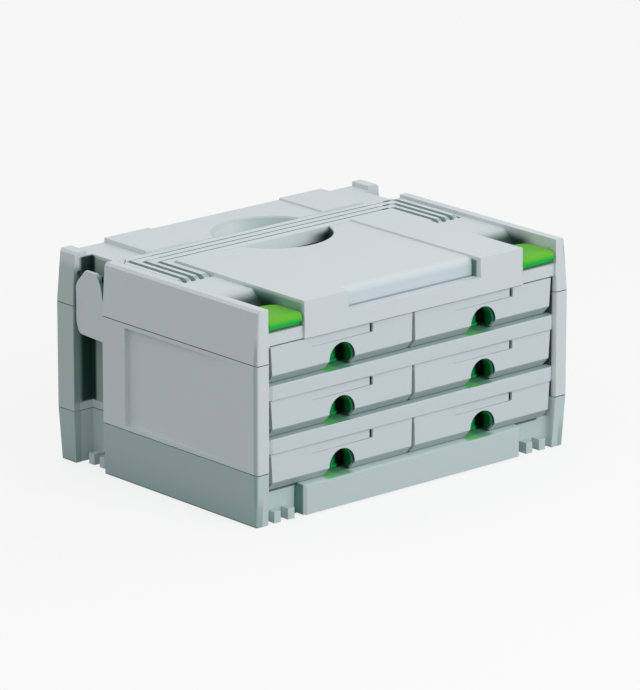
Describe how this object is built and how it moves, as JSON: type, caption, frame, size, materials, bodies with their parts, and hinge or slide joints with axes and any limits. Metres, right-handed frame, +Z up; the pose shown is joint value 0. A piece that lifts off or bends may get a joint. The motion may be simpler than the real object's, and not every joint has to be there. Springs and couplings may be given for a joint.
{
  "type": "drawer organizer case",
  "caption": "Stackable organizer case with pull-out drawers behind a railed front, finger catches, folding carry handle, front and side coupling latches.",
  "frame": {"origin": "middle of the footprint, on the floor plane", "axes": "+X to the right of someone who faces the drawers, +Y from the front to the back, +Z up"},
  "size_m": [0.396, 0.296, 0.21],
  "materials": {
    "shell_plastic": "satin, fine spark-eroded grain",
    "shelf_plastic": "satin, fine spark-eroded grain",
    "handle_plastic": "satin, ribbed grip",
    "drawer_plastic": "satin, smooth front",
    "side_latch_plastic": "satin",
    "latch_green": "glossy, evenly coloured",
    "catch_green": "glossy, evenly coloured",
    "pin_steel": "zinc plated"
  },
  "bodies": {
    "case": {"base_shell": "shell_plastic", "base_deck": "shell_plastic", "middle_shell": "shell_plastic", "top_shell": "shell_plastic", "front_plinth": "shell_plastic", "lower_shelf": "shelf_plastic", "upper_shelf": "shelf_plastic", "centre_divider": "shelf_plastic", "case_screws": "pin_steel", "handle_pins": "pin_steel", "front_latch_pins": "pin_steel", "side_latch_pins": "pin_steel"},
    "handle": {"carry_handle": "handle_plastic"},
    "front_latch_left_body": {"front_latch_left": "latch_green"},
    "side_latch_left_body": {"side_latch_left": "side_latch_plastic"},
    "drawer_lower_left_body": {"drawer_front_lower_left": "drawer_plastic", "drawer_tray_lower_left": "drawer_plastic"},
    "drawer_catch_lower_left_body": {"drawer_catch_lower_left": "catch_green"},
    "drawer_middle_left_body": {"drawer_front_middle_left": "drawer_plastic", "drawer_tray_middle_left": "drawer_plastic"},
    "drawer_catch_middle_left_body": {"drawer_catch_middle_left": "catch_green"},
    "drawer_upper_left_body": {"drawer_front_upper_left": "drawer_plastic", "drawer_tray_upper_left": "drawer_plastic"},
    "drawer_catch_upper_left_body": {"drawer_catch_upper_left": "catch_green"},
    "front_latch_right_body": {"front_latch_right": "latch_green"},
    "side_latch_right_body": {"side_latch_right": "side_latch_plastic"},
    "drawer_lower_right_body": {"drawer_front_lower_right": "drawer_plastic", "drawer_tray_lower_right": "drawer_plastic"},
    "drawer_catch_lower_right_body": {"drawer_catch_lower_right": "catch_green"},
    "drawer_middle_right_body": {"drawer_front_middle_right": "drawer_plastic", "drawer_tray_middle_right": "drawer_plastic"},
    "drawer_catch_middle_right_body": {"drawer_catch_middle_right": "catch_green"},
    "drawer_upper_right_body": {"drawer_front_upper_right": "drawer_plastic", "drawer_tray_upper_right": "drawer_plastic"},
    "drawer_catch_upper_right_body": {"drawer_catch_upper_right": "catch_green"}
  },
  "joints": [
    {"name": "handle_fold", "type": "hinge", "parent": "case", "child": "handle", "pos_m": [0, -0.007, 0.199], "axis": [1, 0, 0], "range_deg": [0, 90]},
    {"name": "front_latch_left_hinge", "type": "hinge", "parent": "case", "child": "front_latch_left_body", "pos_m": [-0.161, -0.1395, 0.1929], "axis": [1, 0, 0], "range_deg": [0, 90]},
    {"name": "side_latch_left_hinge", "type": "hinge", "parent": "case", "child": "side_latch_left_body", "pos_m": [-0.19, 0.098, 0.1895], "axis": [0, 1, 0], "range_deg": [0, 165]},
    {"name": "drawer_lower_left_slide", "type": "slide", "parent": "case", "child": "drawer_lower_left_body", "axis": [0, -1, 0], "range_m": [0, 0.235]},
    {"name": "drawer_catch_lower_left_lift", "type": "slide", "parent": "drawer_lower_left_body", "child": "drawer_catch_lower_left_body", "axis": [0, 0, 1], "range_m": [0, 0.0035], "stiffness_N_per_m": 80, "springref_m": -0.001},
    {"name": "drawer_middle_left_slide", "type": "slide", "parent": "case", "child": "drawer_middle_left_body", "axis": [0, -1, 0], "range_m": [0, 0.235]},
    {"name": "drawer_catch_middle_left_lift", "type": "slide", "parent": "drawer_middle_left_body", "child": "drawer_catch_middle_left_body", "axis": [0, 0, 1], "range_m": [0, 0.0035], "stiffness_N_per_m": 80, "springref_m": -0.001},
    {"name": "drawer_upper_left_slide", "type": "slide", "parent": "case", "child": "drawer_upper_left_body", "axis": [0, -1, 0], "range_m": [0, 0.235]},
    {"name": "drawer_catch_upper_left_lift", "type": "slide", "parent": "drawer_upper_left_body", "child": "drawer_catch_upper_left_body", "axis": [0, 0, 1], "range_m": [0, 0.0035], "stiffness_N_per_m": 80, "springref_m": -0.001},
    {"name": "front_latch_right_hinge", "type": "hinge", "parent": "case", "child": "front_latch_right_body", "pos_m": [0.161, -0.1395, 0.1929], "axis": [1, 0, 0], "range_deg": [0, 90]},
    {"name": "side_latch_right_hinge", "type": "hinge", "parent": "case", "child": "side_latch_right_body", "pos_m": [0.19, 0.098, 0.1895], "axis": [0, -1, 0], "range_deg": [0, 165]},
    {"name": "drawer_lower_right_slide", "type": "slide", "parent": "case", "child": "drawer_lower_right_body", "axis": [0, -1, 0], "range_m": [0, 0.235]},
    {"name": "drawer_catch_lower_right_lift", "type": "slide", "parent": "drawer_lower_right_body", "child": "drawer_catch_lower_right_body", "axis": [0, 0, 1], "range_m": [0, 0.0035], "stiffness_N_per_m": 80, "springref_m": -0.001},
    {"name": "drawer_middle_right_slide", "type": "slide", "parent": "case", "child": "drawer_middle_right_body", "axis": [0, -1, 0], "range_m": [0, 0.235]},
    {"name": "drawer_catch_middle_right_lift", "type": "slide", "parent": "drawer_middle_right_body", "child": "drawer_catch_middle_right_body", "axis": [0, 0, 1], "range_m": [0, 0.0035], "stiffness_N_per_m": 80, "springref_m": -0.001},
    {"name": "drawer_upper_right_slide", "type": "slide", "parent": "case", "child": "drawer_upper_right_body", "axis": [0, -1, 0], "range_m": [0, 0.235]},
    {"name": "drawer_catch_upper_right_lift", "type": "slide", "parent": "drawer_upper_right_body", "child": "drawer_catch_upper_right_body", "axis": [0, 0, 1], "range_m": [0, 0.0035], "stiffness_N_per_m": 80, "springref_m": -0.001}
  ]
}
